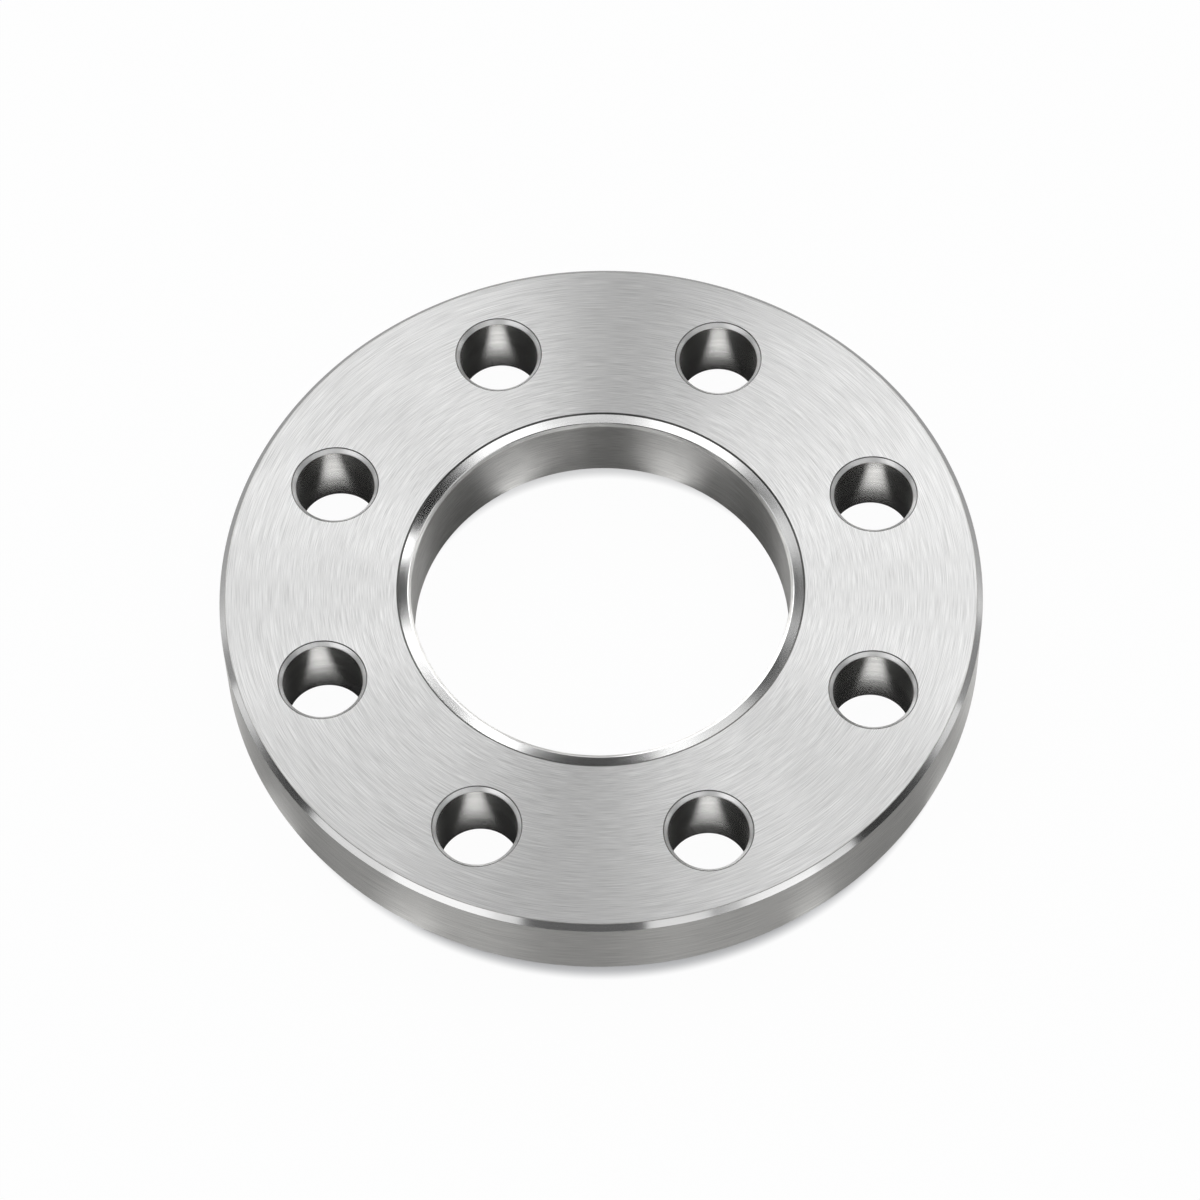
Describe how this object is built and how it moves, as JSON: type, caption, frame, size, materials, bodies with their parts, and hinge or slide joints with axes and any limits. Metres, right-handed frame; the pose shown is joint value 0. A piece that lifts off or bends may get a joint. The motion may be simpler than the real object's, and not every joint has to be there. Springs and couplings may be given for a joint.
{
  "type": "lap joint flange",
  "caption": "Flat round steel ring with a wide bore and a circle of bolt holes, which clamps the lap of a pipe's stub end against a mating flange.",
  "frame": {"origin": "centre of the flat back face, on the ring's axis", "axes": "+Z along the ring's axis, towards the face that carries the stub end's lap; the bolt holes straddle the X and Y centre lines"},
  "size_m": [0.235, 0.235, 0.0265],
  "materials": {
    "turned_steel": "concentric brushed turning marks, with polished chamfers"
  },
  "bodies": {
    "root": {"flange_ring": "turned_steel"}
  },
  "joints": []
}
